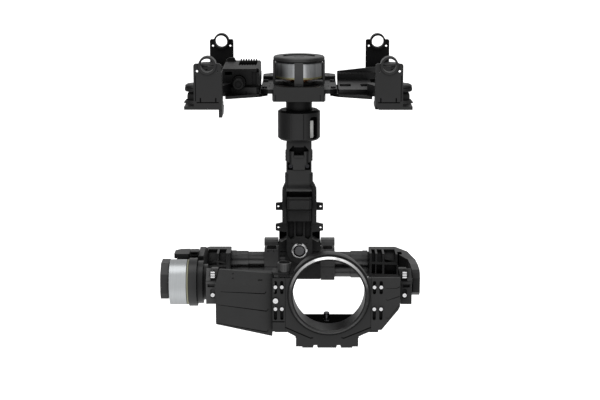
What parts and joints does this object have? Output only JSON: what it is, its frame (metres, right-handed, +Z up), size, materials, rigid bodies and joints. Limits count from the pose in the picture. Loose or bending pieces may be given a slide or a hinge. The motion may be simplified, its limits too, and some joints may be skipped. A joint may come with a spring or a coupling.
{
  "type": "camera gimbal stabilizer",
  "caption": "Three-axis motorised camera gimbal: rod clamps on rubber isolators, pan arm, roll frame with two beam tubes, and a tilting camera tray with a sliding lens ring.",
  "frame": {"origin": "on the pan axis, at the height of the two carrying rods", "axes": "+Z up, -Y towards the lens side (front), +X to the right seen from the lens side"},
  "size_m": [0.2608, 0.2566, 0.2951],
  "materials": {
    "frame_black": "satin black anodised aluminium",
    "cover_black": "fine-grained black moulding",
    "tube_black": "semi-gloss black tube",
    "motor_black": "satin black",
    "motor_silver": "turned aluminium",
    "seal_gold": "dull gold",
    "ring_black": "satin black with a bright front edge",
    "isolator_rubber": "matt",
    "screw_steel": "bright",
    "screw_black": "blackened",
    "bearing_steel": "ground",
    "winding_copper": "wound copper on laminated steel",
    "connector_white": "smooth",
    "board_green": "lacquered"
  },
  "bodies": {
    "rail_mounts": {"rail_bracket_front_left": "frame_black", "rail_bracket_front_right": "frame_black", "rail_bracket_rear_left": "frame_black", "rail_bracket_rear_right": "frame_black", "dampers": "isolator_rubber"},
    "deck": {"deck_plate": "frame_black", "wing_left": "frame_black", "wing_right": "frame_black", "deck_screws": "screw_black", "control_box_base": "cover_black", "control_board": "board_green", "control_box_cover": "cover_black", "control_plug": "cover_black", "pan_mount_block": "frame_black", "pan_motor_cage": "motor_black", "pan_motor_lid": "motor_black", "pan_stator": "winding_copper", "pan_bearings": "bearing_steel"},
    "pan_arm": {"pan_rotor": "motor_silver", "pan_seal_ring": "seal_gold", "pan_shaft": "frame_black", "slip_ring_housing": "frame_black", "pan_connector": "connector_white", "arm_yoke": "frame_black", "arm_cover": "cover_black", "arm_upper": "frame_black", "arm_lower": "frame_black", "roll_motor_base": "motor_black", "roll_stator": "winding_copper", "roll_bearings": "bearing_steel", "roll_bezel": "motor_silver", "arm_screws": "screw_black"},
    "roll_frame": {"roll_shaft": "screw_steel", "roll_rotor": "motor_silver", "roll_hub": "frame_black", "tube_clamps": "frame_black", "beam_tube_upper": "tube_black", "beam_tube_lower": "tube_black", "tube_sleeves": "tube_black", "end_arm_left": "frame_black", "end_arm_right": "frame_black", "tilt_motor_base": "motor_black", "tilt_stator": "winding_copper", "tilt_encoder_cover": "motor_black", "tilt_bearings": "bearing_steel"},
    "tray": {"tilt_rotor": "motor_silver", "tilt_hub": "motor_black", "tray_side_left": "frame_black", "tray_side_right": "frame_black", "tray_floor": "frame_black", "grip_cover": "cover_black", "slot_plate": "frame_black", "front_plate": "cover_black", "tray_screws": "screw_steel", "pivot_pin": "screw_steel"},
    "lens_ring": {"ring_housing": "frame_black", "lens_ring": "ring_black", "ring_screws": "screw_steel"},
    "thumb_knob": {"thumb_knob": "motor_black"},
    "camera_screw": {"camera_screw": "screw_steel"}
  },
  "joints": [
    {"name": "deck_float", "type": "slide", "parent": "rail_mounts", "child": "deck", "axis": [0, 0, 1], "range_m": [-0.0015, 0.0015], "stiffness_N_per_m": 15000, "springref_m": 0.0013, "deforming": ["dampers"]},
    {"name": "pan", "type": "hinge", "parent": "deck", "child": "pan_arm", "pos_m": [0, 0, -0.05], "axis": [0, 0, 1], "continuous": true},
    {"name": "roll", "type": "hinge", "parent": "pan_arm", "child": "roll_frame", "pos_m": [0, 0.105, -0.222], "axis": [0, 1, 0], "range_deg": [-30, 30]},
    {"name": "tilt", "type": "hinge", "parent": "roll_frame", "child": "tray", "pos_m": [0, 0, -0.2333], "axis": [1, 0, 0], "range_deg": [-40, 120]},
    {"name": "ring_height", "type": "slide", "parent": "tray", "child": "lens_ring", "axis": [0, 0, 1], "range_m": [-0.004, 0]},
    {"name": "thumb_knob_turn", "type": "hinge", "parent": "tray", "child": "thumb_knob", "pos_m": [-0.0142, -0.038, -0.207], "axis": [0, 0, 1], "continuous": true},
    {"name": "camera_screw_turn", "type": "hinge", "parent": "tray", "child": "camera_screw", "pos_m": [0.0285, 0.033, -0.28], "axis": [0, 0, 1], "continuous": true}
  ]
}
